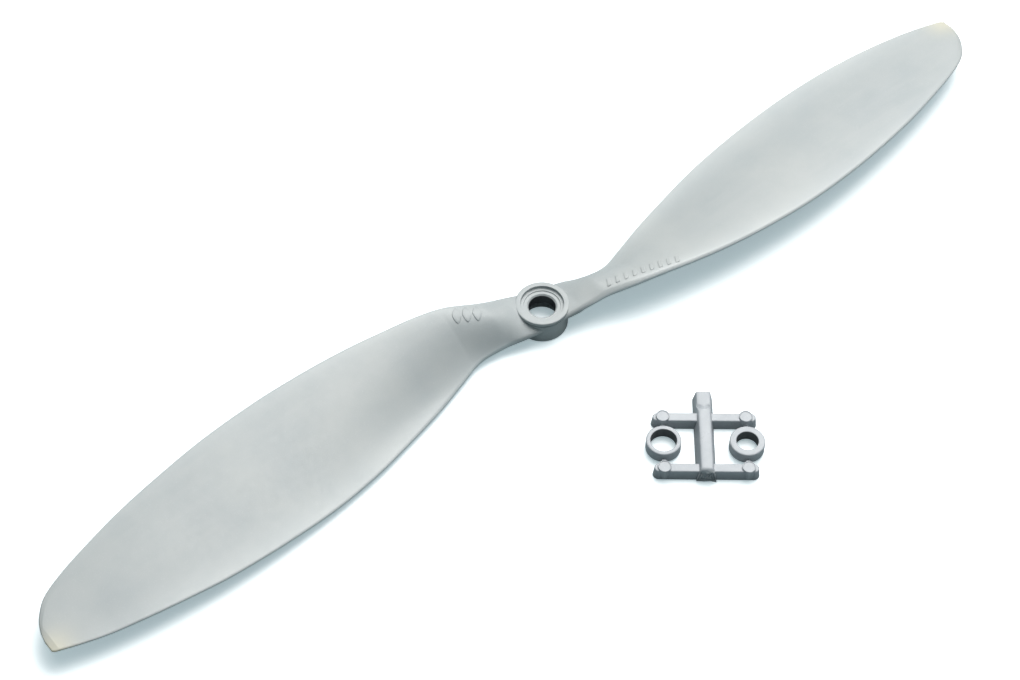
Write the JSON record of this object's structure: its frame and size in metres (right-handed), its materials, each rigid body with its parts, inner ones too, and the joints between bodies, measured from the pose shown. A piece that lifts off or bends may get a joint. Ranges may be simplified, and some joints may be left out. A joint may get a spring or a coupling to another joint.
{
  "type": "model aircraft propeller",
  "caption": "Two-blade slow-fly propeller with a bored hub, lying beside the moulded sprue that carries its adapter rings.",
  "frame": {"origin": "on the bore's axis, at the hub's rear face, which is the plane that the part lies on", "axes": "+X along the blades to a blade tip, +Z along the bore out of the front face, +Y to the trailing edge side of blade_1"},
  "size_m": [0.2794, 0.0837, 0.0111],
  "materials": {
    "propeller_nylon": "light grey glass-filled nylon, satin as moulded, slightly translucent at thin edges",
    "sprue_nylon": "light grey glass-filled nylon, satin as moulded, a little glossier than the blades"
  },
  "bodies": {
    "propeller": {"hub": "propeller_nylon", "blade_1": "propeller_nylon", "blade_2": "propeller_nylon"},
    "sprue": {"sprue_runner": "sprue_nylon", "sprue_arm_far_left": "sprue_nylon", "sprue_arm_far_right": "sprue_nylon", "sprue_arm_near_left": "sprue_nylon", "sprue_arm_near_right": "sprue_nylon"},
    "thin_ring": {"ring_6mm": "sprue_nylon"},
    "thick_ring": {"ring_5mm": "sprue_nylon"}
  },
  "joints": [
    {"name": "sprue_lift", "type": "slide", "parent": "propeller", "child": "sprue", "axis": [0, 0, 1], "range_m": [0, 0.05]},
    {"name": "ring_6mm_lift", "type": "slide", "parent": "sprue", "child": "thin_ring", "axis": [0, 0, 1], "range_m": [0, 0.02]},
    {"name": "ring_5mm_lift", "type": "slide", "parent": "sprue", "child": "thick_ring", "axis": [0, 0, 1], "range_m": [0, 0.02]}
  ]
}
